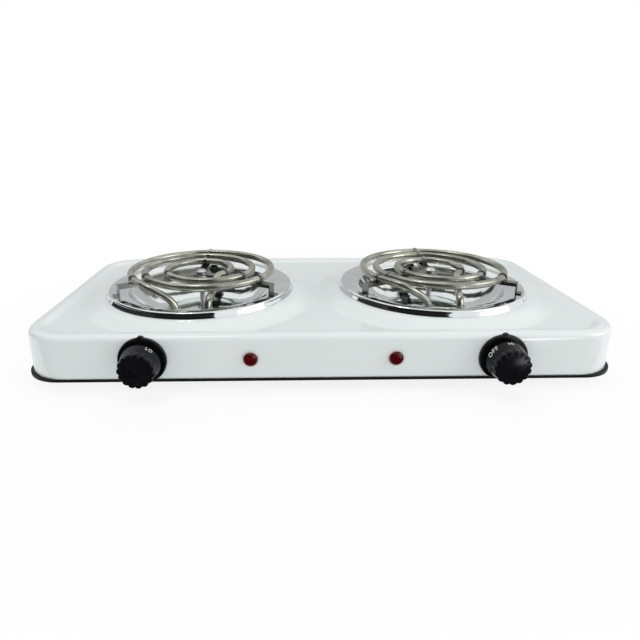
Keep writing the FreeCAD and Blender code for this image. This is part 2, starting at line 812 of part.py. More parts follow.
def make_lens():
    """A domed lens on the ring, with a shank down the tube."""
    low = lamp_ring_height
    shank_low = -lamp_tube_length / 2
    ball = (lens_radius ** 2 + lens_dome ** 2) / (2 * lens_dome)
    centre = low + lens_dome - ball
    middle = math.asin(lens_radius / ball) / 2
    shoulder = Vector(ball * math.sin(middle), 0, centre + ball * math.cos(middle))
    dome = Part.Arc(Vector(lens_radius, 0, low), shoulder, Vector(0, 0, low + lens_dome)).toShape()
    corners = [(0, low + lens_dome), (0, shank_low), (lens_shank_radius, shank_low), (lens_shank_radius, low),
               (lens_radius, low)]
    points = [Vector(radius, 0, height) for radius, height in corners]
    return turned([Part.makeLine(a, b) for a, b in zip(points, points[1:])] + [dome])


def make_lamp_clip():
    """A push-on ring that holds the lamp from behind the wall."""
    low = -housing_sheet - lamp_clip_sheet
    ring = cylinder(lamp_clip_radius, lamp_clip_sheet, z=low)
    return ring.cut(cylinder(lamp_tube_radius + seat_gap, lamp_clip_sheet, z=low))


# Supply

def block_y():
    """Middle of the terminal block, front to back."""
    return half_depth - block_from_back


def earth_centre():
    """The earth screw, on the base plate beside the terminal block."""
    return Vector(block_width, block_y(), 0)


def make_gland():
    """A flanged bush for the lead in the rear wall."""
    neck = gland_radius - gland_flange / 2
    inner_end = gland_flange - gland_length
    barb = neck + gland_barb
    bush = turned_points([(gland_bore, gland_flange), (gland_radius - gland_chamfer, gland_flange),
                          (gland_radius, gland_flange - gland_chamfer), (gland_radius, 0), (neck, 0),
                          (neck, -housing_sheet), (barb, -housing_sheet - gland_barb_step),
                          (neck - gland_taper, inner_end), (gland_bore, inner_end)])
    bush.rotate(Vector(0, 0, 0), Vector(1, 0, 0), -90)
    return bush.translated(Vector(0, half_depth, gland_height))


def pole_places():
    """Places of the poles across the terminal block."""
    pitch = block_width / pole_count
    return [(i - (pole_count - 1) / 2) * pitch for i in range(pole_count)]


def make_terminal_block():
    """A ceramic block on the base plate with a stepped wall between its poles."""
    half = block_width / 2
    front = block_y() - block_depth / 2
    back = block_y() + block_depth / 2
    top = base_top + block_height
    well = block_width / pole_count - pole_wall
    body = block(-half, half, front, back, base_top, top)
    cuts = []
    for x in pole_places():
        cuts.append(block(x - well / 2, x + well / 2, front, back, base_top + pole_seat_height, top))
        cuts.append(cylinder(screw_radius + hole_gap, block_height, x, block_y(), base_top + pole_floor))
    return body.cut(Part.makeCompound(cuts))


def make_pole_screws():
    """One screw in each pole, head up."""
    seat = base_top + pole_seat_height
    head = cylinder(pole_head_radius, screw_head_height, z=seat)
    screw = fused([head, cylinder(screw_radius, pole_screw_length, z=seat - pole_screw_length)])
    return [screw.translated(Vector(x, block_y(), 0)) for x in pole_places()]


def make_wires(side):
    """Sleeved wires of one side: supply to the switch, switch to the coil, coil back to the supply."""
    inward = -side
    burner = burner_place(side)
    discs, blades = stack_levels()
    tab_x = control_x(side) + inward * blade_tab_reach
    tab_y = -half_depth - stack_depth()
    heights = [control_height + (low + high) / 2 for low, high in blades]
    block_front = block_y() - block_depth / 2
    poles = sorted(pole_places(), key=lambda x: side * x)
    terminal_z = coil_leg_foot() - pin_length + terminal_size / 2
    near_leg = burner.x + inward * leg_spacing / 2
    far_leg = burner.x - inward * leg_spacing / 2
    leg_y = burner.y - leg_forward
    half_terminal = terminal_size / 2
    run_in = Vector(0, -wire_run_in, 0)
    live_end = Vector(poles[2], block_front, wire_height)
    neutral_end = Vector(poles[3], block_front, wire_height)
    live_side = Vector(burner.x + inward * live_side_run, burner.y, wire_height)
    neutral_side = Vector(burner.x + inward * neutral_side_run, burner.y + neutral_back_run, wire_height)
    live = [Vector(tab_x, tab_y, heights[0]), Vector(tab_x + inward * wire_tab_run, tab_y, heights[0]),
            live_side, live_end + run_in, live_end]
    load = [Vector(tab_x, tab_y, heights[1]), Vector(near_leg, tab_y, heights[1]),
            Vector(near_leg, leg_y - wire_leg_run, terminal_z),
            Vector(near_leg, leg_y - half_terminal, terminal_z)]
    neutral = [Vector(far_leg, leg_y + half_terminal, terminal_z),
               Vector(far_leg, leg_y + neutral_leg_run, terminal_z),
               neutral_side, neutral_end + run_in, neutral_end]
    return {"live_wire": live, "load_wire": load, "neutral_wire": neutral}


def build_stand():
    """Housing, base plate, feet and their screws."""
    export_node("housing", make_housing())
    export_node("base_plate", make_base_plate())
    for name, centre in foot_centres().items():
        export_node(name, make_foot().translated(centre))
    plate_underside = base_top - base_sheet
    foot_screw = make_screw((base_top - base_sheet) / 2, screw_length + foot_screw_extra)
    export_node("foot_screws", *[foot_screw.translated(centre) for centre in foot_centres().values()])
    base_screw = make_screw(plate_underside, screw_length)
    export_node("base_screws", *[base_screw.translated(centre) for centre in tab_centres()])
    export_node("earth_screw", make_screw(plate_underside, screw_length).translated(earth_centre()))


def build_burner(side):
    """Everything that stands on one burner's axis."""
    name = side_names[side]
    centre = burner_place(side)
    clips = [make_clip(place, along) for angle in arm_angles for place, along in turn_crossings(angle)]
    pieces = {"drip_pan": [make_drip_pan()], "heating_coil": [tube(coil_path(), coil_tube_radius)],
              "coil_support": [make_coil_support()], "coil_clips": clips, "burner_bolt": [make_bolt()],
              "burner_nut": [make_burner_nut()], "burner_bridge": [make_bridge()],
              "coil_beads": [make_bead().translated(place) for place in leg_places()],
              "coil_pins": [make_pin().translated(place) for place in leg_places()]}
    for piece, solids in pieces.items():
        export_node(piece + "_" + name, *[solid.translated(centre) for solid in solids])


def build_control(side):
    """One knob with its bezel and thermostat, and the lamp beside it."""
    name = side_names[side]
    inward = -side
    pieces = {"knob_bezel": [make_bezel()], "knob": [make_knob()], "thermostat_spindle": [make_spindle()],
              "thermostat_nut": [make_bush_nut()], "thermostat_frame": [make_thermostat_frame(inward)],
              "thermostat_stack": make_stack(inward), "thermostat_blades": make_blades(inward)}
    for piece, solids in pieces.items():
        placed = [on_front(solid, control_x(side), control_height) for solid in solids]
        export_node(piece + "_" + name, *placed)
    lamp = {"lamp_lens": make_lens(), "lamp_body": make_lamp_body(), "lamp_clip": make_lamp_clip()}
    for piece, solid in lamp.items():
        export_node(piece + "_" + name, on_front(solid, lamp_x(side), lamp_height))


def build_supply():
    """The lead's gland, the terminal block and the wires inside."""
    export_node("cord_gland", make_gland())
    export_node("terminal_block", make_terminal_block())
    export_node("terminal_screws", *make_pole_screws())
    for side in side_names:
        for wire, points in make_wires(side).items():
            export_node(wire + "_" + side_names[side], tube(rounded_path(points, wire_bend), wire_radius))


build_stand()
for burner_side in side_names:
    build_burner(burner_side)
    build_control(burner_side)
build_supply()
print("coil gap to itself: %.2f mm" % coil_self_gap())
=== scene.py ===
"""A double coil hot plate: pressed, wound and moulded surfaces with their finishes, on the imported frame."""
import json
import math

import bmesh
import bpy
import numpy as np
from mathutils import Matrix, Vector


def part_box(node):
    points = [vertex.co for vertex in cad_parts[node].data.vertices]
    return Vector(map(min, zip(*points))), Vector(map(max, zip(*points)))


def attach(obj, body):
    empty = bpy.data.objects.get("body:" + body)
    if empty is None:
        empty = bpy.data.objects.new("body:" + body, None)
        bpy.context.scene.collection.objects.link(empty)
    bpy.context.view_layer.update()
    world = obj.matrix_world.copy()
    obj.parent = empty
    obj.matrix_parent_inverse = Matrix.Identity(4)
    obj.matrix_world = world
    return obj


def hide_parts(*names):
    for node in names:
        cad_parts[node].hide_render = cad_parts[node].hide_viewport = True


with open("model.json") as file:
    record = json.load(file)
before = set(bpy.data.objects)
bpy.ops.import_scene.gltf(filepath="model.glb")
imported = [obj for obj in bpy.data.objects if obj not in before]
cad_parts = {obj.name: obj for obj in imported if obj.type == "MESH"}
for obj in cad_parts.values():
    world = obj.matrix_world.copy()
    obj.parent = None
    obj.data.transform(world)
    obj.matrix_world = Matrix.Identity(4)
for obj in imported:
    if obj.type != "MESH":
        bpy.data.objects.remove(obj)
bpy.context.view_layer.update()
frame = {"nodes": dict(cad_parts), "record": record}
nodes = frame["nodes"]
MM = 0.001
SIDES = {"left": -1, "right": 1}


# Places and sizes taken from the frame

def corner_values(node):
    """Lowest and highest corners of a CAD node as arrays."""
    low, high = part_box(node)
    return np.array(low), np.array(high)


housing_low, housing_high = corner_values("housing")
pan_low, pan_high = corner_values("drip_pan_left")
coil_low, coil_high = corner_values("heating_coil_left")
knob_low, knob_high = corner_values("knob_left")
bezel_low, bezel_high = corner_values("knob_bezel_left")
lens_low, lens_high = corner_values("lamp_lens_left")

HOUSING_CENTRE = (housing_low + housing_high) / 2
HOUSING_HALF = (housing_high - housing_low) / 2
WALL_FRONT = housing_low[1]
WALL_FOOT = housing_low[2]
BASE_TOP = corner_values("base_plate")[1][2]
BURNER = {side: np.array([SIDES[side] * abs(pan_low[0] + pan_high[0]) / 2, (pan_low[1] + pan_high[1]) / 2])
          for side in SIDES}
PAN_RADIUS = (pan_high[0] - pan_low[0]) / 2
PAN_TOP = pan_high[2]
COIL_TOP = coil_high[2]
KNOB_X = abs(knob_low[0] + knob_high[0]) / 2
KNOB_Z = (knob_low[2] + knob_high[2]) / 2
LENS_X = abs(lens_low[0] + lens_high[0]) / 2
LENS_Z = (lens_low[2] + lens_high[2]) / 2

# Pressed housing
SHEET = 0.8 * MM
CORNER_RADIUS = 34 * MM
EDGE_RADIUS = 4 * MM
RIM_WIDTH = 8 * MM
RIM_FALL = 0.5 * MM
SLOPE_WIDTH = 7 * MM
DECK_DROP = 2.3 * MM
MOUND_FOOT = 107 * MM
MOUND_EDGE = 86 * MM
MOUND_RISE = 5.5 * MM
BURNER_HOLE = 77 * MM
BUSH_HOLE = 4.7 * MM
LAMP_HOLE = 4.8 * MM
GLAND_HOLE = 7.7 * MM
GLAND_HEIGHT = 24 * MM
RIM_TOP = housing_high[2] - MOUND_RISE + DECK_DROP
TOP_STEP = 1.8 * MM
BORDER_STEP = 0.9 * MM
BORDER_WIDTH = 18 * MM
CORNER_POINTS = 20
WALL_ROWS = 24

# Drip pan
PAN_SHEET = 0.6 * MM
FLANGE_HEIGHT = 4.8 * MM
FLANGE_FLARE = 2.0 * MM
FLANGE_ROUND = 1.6 * MM
CREASE_RADIUS = 75.6 * MM
SLOPE_DROP = 2.7 * MM
BOWL_EDGE = 65.5 * MM
BOWL_FLOOR = 28 * MM
BOWL_DEPTH = 22.3 * MM
BOLT_HOLE = 2.7 * MM
SLOPE_CURVE = 1.3
FLARE_POINTS = 6
RING_POINTS = 5
SLOPE_POINTS = 12
BOWL_POINTS = 36
FLOOR_POINTS = 10
PAN_SEGMENTS = 288

# Heating coil
TUBE = 3.1 * MM
COIL_RADII = [r * MM for r in (62.0, 64.0, 49.5, 46.5, 30.0, 27.0)]
LEG_X = 12.5 * MM
LEG_FORWARD = 53.5 * MM
LEG_HOLE = 4.4 * MM
COIL_LEVEL = COIL_TOP - TUBE
LEAD_TURN = math.radians(38)
OUTER_BEND = 20 * MM
INNER_BEND = 12 * MM
INNER_RUN = 6 * MM
LEG_TOP_DROP = 1 * MM
DIP_SIDE = 2.5 * MM
DIP_FORWARD = 5 * MM
DIP_GAP = 2 * MM
BEND_SHARE = 0.45
BEND_POINTS = 20
LEAD_POINTS = 30
TURN_POINTS = 90
COIL_SPACING = 1.4 * MM
COIL_SIDES = 24

# Knobs, bezels and lamps: fronts and backs lie out from the front wall, the knob's hollow from its back
BEZEL_RADIUS = (bezel_high[0] - bezel_low[0]) / 2
BEZEL_HEIGHT = bezel_high[1] - bezel_low[1]
BEZEL_RING = 1.6 * MM
BEZEL_ROUND = 0.8 * MM
BEZEL_ROUND_POINTS = 6
BEZEL_SLANT = 0.4 * MM
BEZEL_FLOOR = 1.2 * MM
BEZEL_BORE = 5 * MM
BEZEL_FOOT_GAP = 0.4 * MM
BEZEL_SEGMENTS = 256
KNOB_BACK = WALL_FRONT - knob_high[1]
KNOB_FRONT = WALL_FRONT - knob_low[1]
SKIRT_RADIUS = (knob_high[0] - knob_low[0]) / 2
SKIRT_FRONT_RADIUS = 11.6 * MM
GRIP_RADIUS = 13.5 * MM
GRIP_DEPTH = 1.3 * MM
GRIP_LENGTH = 9.0 * MM
GRIP_RUN_IN = 2.2 * MM
GRIP_BLEND = 0.25 * MM
LOBE_FULLNESS = 0.8
POINTS_PER_LOBE = 16
LOBES = 15
FACE_RISE = 1.2 * MM
FRONT_ROUND = 1.8 * MM
SKIRT_EDGE = 0.5 * MM
SIDE_ROWS = 34
FACE_ROWS = 14
KNOB_SKIRT_WALL = 3.0 * MM
KNOB_HOLLOW = 3.4 * MM
KNOB_BORE = 3.15 * MM
KNOB_BORE_DEPTH = 11.2 * MM
POINTER_REACH = 1.4 * MM
POINTER_SPAN = math.radians(7.5)
LENS_RADIUS = (lens_high[0] - lens_low[0]) / 2
LENS_FRONT = WALL_FRONT - lens_low[1]
LENS_BACK = 1 * MM
LENS_FULLNESS = 0.75
LENS_POINTS = 16
LENS_SEGMENTS = 96

# Printed marks: knob, word, degrees clockwise from the top and size of the letters
OFF_SIZE = 5.2 * MM
LEVEL_SIZE = 4.2 * MM
MARKS = [("right", "OFF", -55, OFF_SIZE), ("right", "HI", 3, LEVEL_SIZE), ("right", "LO", 148, LEVEL_SIZE),
         ("left", "OFF", 184, OFF_SIZE), ("left", "LO", 34, LEVEL_SIZE), ("left", "HI", -119, LEVEL_SIZE)]
MARK_SPACING = 1.15
MARK_HALF_DEPTH = 0.03 * MM
MARK_LIFT = 0.05 * MM
MARK_FROM_BACK = 2.6 * MM
MARK_SQUEEZE = 0.95

# Meshes: points on a quarter round of housing, pan and knob, and the distances for clean-up
ROUND_POINTS = 9
MERGE_DISTANCE = 1e-6
SLIVER_DISTANCE = 1e-7

# Finishes: where a pattern starts and ends its change of colour, the clear coat and the fine grain
DRIFT_START = 0.3
DRIFT_END = 0.7
COAT_ROUGHNESS = 0.06
GRAIN_FINENESS = 6
GRAIN_STRENGTH = 0.4


# Mesh making

def grid_quads(rows, columns, closed=False):
    """Quads of a grid of rows by columns, as index arrays; closed joins the last column to the first."""
    across = np.arange(columns if closed else columns - 1)
    first = np.arange(rows - 1)[:, None] * columns
    a = first + across
    b = first + (across + 1) % columns
    return np.stack([a, b, b + columns, a + columns], axis=-1).reshape(-1, 4)


def new_piece(name, points, quads, material, stands_for, body="root", smooth_angle=40):
    """A mesh from point and quad arrays, with doubles merged, faces outwards and smooth shading."""
    mesh = bpy.data.meshes.new(name)
    mesh.from_pydata(np.asarray(points, float).reshape(-1, 3).tolist(), [], np.asarray(quads).tolist())
    work = bmesh.new()
    work.from_mesh(mesh)
    bmesh.ops.remove_doubles(work, verts=work.verts, dist=MERGE_DISTANCE)
    bmesh.ops.dissolve_degenerate(work, edges=work.edges, dist=SLIVER_DISTANCE)
    loose = [vert for vert in work.verts if not vert.link_faces]
    bmesh.ops.delete(work, geom=loose, context="VERTS")
    bmesh.ops.recalc_face_normals(work, faces=work.faces)
    work.to_mesh(mesh)
    work.free()
    mesh.materials.append(material)
    piece = bpy.data.objects.new(name, mesh)
    bpy.context.scene.collection.objects.link(piece)
    mesh.polygons.foreach_set("use_smooth", np.ones(len(mesh.polygons), bool))
    mesh.set_sharp_from_angle(angle=math.radians(smooth_angle))
    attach(piece, body)
    for node in stands_for:
        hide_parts(node)
    return piece


def give_thickness(piece, thickness):
    """A live wall of even thickness, grown inwards from the faces."""
    wall = piece.modifiers.new("sheet", "SOLIDIFY")
    wall.thickness = thickness
    wall.offset = -1
    wall.use_even_offset = True


def ease(value):
    """Smooth step from 0 to 1, level at both ends."""
    share = np.clip(value, 0, 1)
    return share * share * (3 - 2 * share)


def soft_max(a, b, blend):
    """The larger of two heights, rounded over where they cross."""
    return 0.5 * (a + b + np.sqrt((a - b) ** 2 + blend ** 2))


def turned_points(profile, segments, turn=0.0):
    """Carry a profile of (radius, height) pairs round the Z axis: one row for each pair."""
    angles = np.linspace(0, 2 * math.pi, segments, endpoint=False) + turn
    radius = profile[:, 0][:, None]
    height = profile[:, 1][:, None] + 0 * angles
    return np.stack([radius * np.cos(angles), radius * np.sin(angles), height], axis=-1)


def to_front(points, x, z):
    """Turn points made with +Z outwards and +Y upwards onto the front wall."""
    points = np.asarray(points)
    return np.stack([points[..., 0] + x, WALL_FRONT - points[..., 2], points[..., 1] + z], axis=-1)


def open_hole(points, quads, centre, radius, axes=(0, 1), level=None):
    """Leave out quads inside a round hole and draw the hole's edge points onto its circle.

    The axes are the two that the circle lies in. A level along Y keeps the hole to the wall at that depth."""
    flat = points.reshape(-1, 3).copy()
    away = flat[:, axes] - centre
    distance = np.hypot(away[:, 0], away[:, 1])
    gone = distance[quads].mean(axis=1) < radius
    if level is not None:
        gone &= np.abs(flat[quads, 1].mean(axis=1) - level) < SHEET
    edge = np.intersect1d(quads[~gone].ravel(), quads[gone].ravel())
    flat[edge[:, None], axes] = centre + away[edge] / distance[edge][:, None] * radius
    return flat, quads[~gone]


# Materials

def new_material(name):
    """A node material with its principled shader and object coordinates."""
    material = bpy.data.materials.new(name)
    material.use_nodes = True
    tree = material.node_tree
    shader = tree.nodes["Principled BSDF"]
    place = tree.nodes.new("ShaderNodeTexCoord").outputs["Object"]
    return material, tree, shader, place


def noise(tree, place, scale, detail=4.0, roughness=0.55):
    """A noise pattern on object coordinates."""
    node = tree.nodes.new("ShaderNodeTexNoise")
    node.inputs["Scale"].default_value = scale
    node.inputs["Detail"].default_value = detail
    node.inputs["Roughness"].default_value = roughness
    tree.links.new(place, node.inputs["Vector"])
    return node.outputs["Fac"]


def ramp(tree, value, stops):
    """A colour ramp through (position, colour) stops."""
    node = tree.nodes.new("ShaderNodeValToRGB")
    elements = node.color_ramp.elements
    while len(elements) < len(stops):
        elements.new(0.5)
    for element, (position, colour) in zip(elements, stops):
        element.position = position
        element.color = (*colour, 1)
    tree.links.new(value, node.inputs["Fac"])
    return node.outputs["Color"]


def spread(tree, value, low, high):
    """Map a 0 to 1 pattern to a range of values."""
    node = tree.nodes.new("ShaderNodeMapRange")
    node.inputs["To Min"].default_value = low
    node.inputs["To Max"].default_value = high
    tree.links.new(value, node.inputs["Value"])
    return node.outputs["Result"]


def add_bump(tree, shader, value, depth, strength):
    """Bump of a real depth from a pattern."""
    node = tree.nodes.new("ShaderNodeBump")
    node.inputs["Strength"].default_value = strength
    node.inputs["Distance"].default_value = depth
    tree.links.new(value, node.inputs["Height"])
    tree.links.new(node.outputs["Normal"], shader.inputs["Normal"])


def plain_finish(name, colours, roughness, scale, metallic=0.0, depth=0.02 * MM, coat=0.0, specular=0.5):
    """A finish whose colour and roughness drift with one noise and whose surface has a fine grain."""
    material, tree, shader, place = new_material(name)
    drift = noise(tree, place, scale)
    grain = noise(tree, place, scale * GRAIN_FINENESS, detail=2.0)
    tint = ramp(tree, drift, [(DRIFT_START, colours[0]), (DRIFT_END, colours[1])])
    tree.links.new(tint, shader.inputs["Base Color"])
    tree.links.new(spread(tree, drift, *roughness), shader.inputs["Roughness"])
    shader.inputs["Metallic"].default_value = metallic
    shader.inputs["Coat Weight"].default_value = coat
    shader.inputs["Coat Roughness"].default_value = COAT_ROUGHNESS
    shader.inputs["Specular IOR Level"].default_value = specular
    add_bump(tree, shader, grain, depth, GRAIN_STRENGTH)
    return material


def wavy_chrome():
    """Bright plate over thin pressed steel: a faint haze and slow waves that break up its mirror images."""
    material, tree, shader, place = new_material("chrome_plate")
    haze = noise(tree, place, scale=60)
    waves = noise(tree, place, scale=42, detail=2.0)
    tint = ramp(tree, haze, [(DRIFT_START, (0.68, 0.725, 0.72)), (DRIFT_END, (0.78, 0.82, 0.82))])
    tree.links.new(tint, shader.inputs["Base Color"])
    tree.links.new(spread(tree, haze, low=0.04, high=0.1), shader.inputs["Roughness"])
    shader.inputs["Metallic"].default_value = 1.0
    add_bump(tree, shader, waves, depth=1.0 * MM, strength=0.45)
    return material


def heated_sheath():
    """Heater tube: grey steel tinted olive and straw by heat, with a fine grain."""
    material, tree, shader, place = new_material("heated_sheath")
    cloud = noise(tree, place, scale=38, detail=5.0)
    fine = noise(tree, place, scale=900, detail=3.0)
    tint = ramp(tree, cloud, [(0.25, (0.165, 0.167, 0.142)), (0.45, (0.31, 0.311, 0.267)),
                              (0.6, (0.445, 0.445, 0.385)), (0.8, (0.36, 0.325, 0.23))])
    tree.links.new(tint, shader.inputs["Base Color"])
    tree.links.new(spread(tree, fine, low=0.18, high=0.32), shader.inputs["Roughness"])
    shader.inputs["Metallic"].default_value = 0.9
    add_bump(tree, shader, fine, depth=0.02 * MM, strength=0.5)
    return material


ENAMEL = plain_finish("white_enamel", [(0.72, 0.785, 0.772), (0.755, 0.81, 0.797)], (0.16, 0.24),
                      scale=14, depth=0.008 * MM, coat=0.3)
BASE_PAINT = plain_finish("black_base_paint", [(0.004, 0.004, 0.005), (0.009, 0.009, 0.01)], (0.35, 0.5),
                          scale=160, specular=0.15)
CHROME = wavy_chrome()
SHEATH = heated_sheath()
SUPPORT = plain_finish("support_steel", [(0.16, 0.165, 0.155), (0.28, 0.285, 0.27)], (0.16, 0.3),
                       scale=90, metallic=1.0)
ZINC = plain_finish("zinc_plate", [(0.5, 0.51, 0.52), (0.62, 0.62, 0.6)], (0.28, 0.45),
                    scale=160, metallic=1.0)
BRASS = plain_finish("brass", [(0.62, 0.46, 0.2), (0.74, 0.57, 0.28)], (0.25, 0.4),
                     scale=200, metallic=1.0)
CERAMIC = plain_finish("ceramic", [(0.72, 0.68, 0.6), (0.8, 0.77, 0.7)], (0.5, 0.7),
                       scale=150, depth=0.05 * MM)
RUBBER = plain_finish("foot_rubber", [(0.012, 0.012, 0.012), (0.028, 0.028, 0.028)], (0.65, 0.85),
                      scale=220, depth=0.06 * MM)
KNOB_PLASTIC = plain_finish("knob_plastic", [(0.0035, 0.0035, 0.0045), (0.007, 0.007, 0.009)], (0.18, 0.28),
                            scale=260, specular=0.13)
BEZEL_PLASTIC = plain_finish("bezel_plastic", [(0.004, 0.004, 0.005), (0.008, 0.008, 0.009)], (0.26, 0.4),
                             scale=240, specular=0.16)
LENS_RED = plain_finish("lens_red", [(0.04, 0.001, 0.002), (0.085, 0.002, 0.004)], (0.08, 0.16),
                        scale=420, specular=0.3)
RING_PLASTIC = plain_finish("lamp_ring_plastic", [(0.6, 0.52, 0.5), (0.7, 0.64, 0.62)], (0.25, 0.4),
                            scale=200)
SLEEVE = plain_finish("glass_sleeve", [(0.66, 0.62, 0.52), (0.78, 0.74, 0.66)], (0.7, 0.85),
                      scale=900, depth=0.2 * MM)
PRINT = plain_finish("white_print", [(0.7, 0.7, 0.7), (0.8, 0.8, 0.8)], (0.4, 0.55), scale=300)

SLOT_FINISH = {"white_enamel": ENAMEL, "black_paint": BASE_PAINT, "rubber": RUBBER, "zinc_steel": ZINC,
               "chrome_plate": CHROME, "heater_sheath": SHEATH, "support_steel": SUPPORT, "ceramic": CERAMIC,
               "brass": BRASS, "black_bezel": BEZEL_PLASTIC, "black_knob": KNOB_PLASTIC, "red_lens": LENS_RED,
               "pale_plastic": RING_PLASTIC, "sleeve": SLEEVE}


def finish_cad_nodes():
    """Give every carried-over CAD node the finish of its material slot."""
    for entry in frame["record"]["subparts"]:
        mesh = nodes[entry["node"]].data
        mesh.materials.clear()
        mesh.materials.append(SLOT_FINISH[entry["material_slot"]])


# Housing

def outline_distance(x, y):
    """How far a point lies inside the housing's rounded outline."""
    over_x = np.abs(x) - (HOUSING_HALF[0] - CORNER_RADIUS)
    over_y = np.abs(y) - (HOUSING_HALF[1] - CORNER_RADIUS)
    outside = np.hypot(np.maximum(over_x, 0), np.maximum(over_y, 0))
    inside = np.minimum(np.maximum(over_x, over_y), 0)
    return CORNER_RADIUS - outside - inside


def deck_height(x, y):
    """Rim that falls a little outwards, an eased step down to the deck, and an eased mound round each burner.

    Rim and mounds rise from the deck; the cube root of the sum of their cubes joins them softly."""
    inside = outline_distance(x, y)
    rim = DECK_DROP * ease(1 - (inside - RIM_WIDTH) / SLOPE_WIDTH) - RIM_FALL * ease(1 - inside / RIM_WIDTH)
    cubes = rim ** 3
    for side in SIDES:
        away = np.hypot(x - BURNER[side][0], y - (BURNER[side][1] - HOUSING_CENTRE[1]))
        cubes = cubes + (MOUND_RISE * ease((MOUND_FOOT - away) / (MOUND_FOOT - MOUND_EDGE))) ** 3
    return RIM_TOP - DECK_DROP + np.cbrt(cubes)


def spaced(half, step_edge, step_middle, edge):
    """Positions from -half to half, closer together within the edge width at both ends."""
    outer = np.linspace(-half, -half + edge, int(edge / step_edge) + 1)
    inner = np.linspace(-half + edge, half - edge, int(2 * (half - edge) / step_middle) + 1)[1:-1]
    return np.concatenate([outer, inner, -outer[::-1]])


def make_housing():
    """Top grid whose rows span the rounded outline, then a strip over the edge and down the walls.

    A row at depth y runs from minus to plus the outline's half width there. Rows in the corners follow
    equal angles of the corner arc. The strip carries a quarter round and the wall along the grid's border."""
    half_x = HOUSING_HALF[0] - EDGE_RADIUS
    half_y = HOUSING_HALF[1] - EDGE_RADIUS
    corner = CORNER_RADIUS - EDGE_RADIUS
    arc = half_y - corner + corner * np.sin(np.linspace(0, math.pi / 2, CORNER_POINTS))
    middle = np.linspace(-arc[0], arc[0], int(2 * arc[0] / TOP_STEP))[1:-1]
    rows = np.concatenate([-arc[::-1], middle, arc])
    over = np.clip((np.abs(rows) - (half_y - corner)) / corner, 0, 1)
    half_widths = half_x - corner + corner * np.sqrt(1 - over ** 2)
    shares = spaced(half_x, BORDER_STEP, TOP_STEP, BORDER_WIDTH) / half_x
    x = half_widths[:, None] * shares[None, :]
    y = rows[:, None] + 0 * shares[None, :]
    top = np.stack([x, y, deck_height(x, y)], axis=-1)
    count_rows, count_columns = x.shape
    index = np.arange(count_rows * count_columns).reshape(count_rows, count_columns)
    border = np.concatenate([index[0], index[1:, -1], index[-1, -2::-1], index[-2:0:-1, 0]])
    rim = top.reshape(-1, 3)[border]
    core = np.stack([np.clip(rim[:, 0], corner - half_x, half_x - corner),
                     np.clip(rim[:, 1], corner - half_y, half_y - corner)], axis=-1)
    outward = rim[:, :2] - core
    outward = outward / np.hypot(outward[:, 0], outward[:, 1])[:, None]
    turn = np.linspace(0, math.pi / 2, ROUND_POINTS)[1:]
    reach = EDGE_RADIUS * np.concatenate([np.sin(turn), np.ones(WALL_ROWS)])
    wall_top = rim[:, 2].max() - EDGE_RADIUS
    round_levels = rim[:, 2] - (EDGE_RADIUS * (1 - np.cos(turn)))[:, None]
    wall_levels = np.linspace(wall_top, WALL_FOOT, WALL_ROWS + 1)[1:, None] + 0 * rim[:, 2]
    levels = np.vstack([round_levels, wall_levels])
    sides = rim[:, :2] + outward * reach[:, None, None]
    strip = np.concatenate([sides, levels[..., None]], axis=-1)
    points = np.concatenate([top.reshape(-1, 3), strip.reshape(-1, 3)])
    quads = grid_quads(count_rows, count_columns)
    loops = np.vstack([border, index.size + np.arange(levels.size).reshape(levels.shape)])
    following = np.roll(loops, -1, axis=1)
    strip_quads = np.stack([loops[:-1], loops[1:], following[1:], following[:-1]], axis=-1).reshape(-1, 4)
    for side in SIDES:
        centre = BURNER[side] - HOUSING_CENTRE[:2]
        points, quads = open_hole(points, quads, centre, BURNER_HOLE)
    wall_holes = [(SIDES[side] * KNOB_X, KNOB_Z, BUSH_HOLE, -1) for side in SIDES]
    wall_holes += [(SIDES[side] * LENS_X, LENS_Z, LAMP_HOLE, -1) for side in SIDES]
    wall_holes.append((0, GLAND_HEIGHT, GLAND_HOLE, 1))
    for x_hole, z_hole, radius, face in wall_holes:
        points, strip_quads = open_hole(points, strip_quads, np.array([x_hole, z_hole]), radius, axes=(0, 2),
                                        level=face * HOUSING_HALF[1])
    points[:, :2] += HOUSING_CENTRE[:2]
    piece = new_piece("pressed_housing", points, np.vstack([quads, strip_quads]), ENAMEL,
                      stands_for=["housing"], smooth_angle=60)
    give_thickness(piece, SHEET)


# Burners

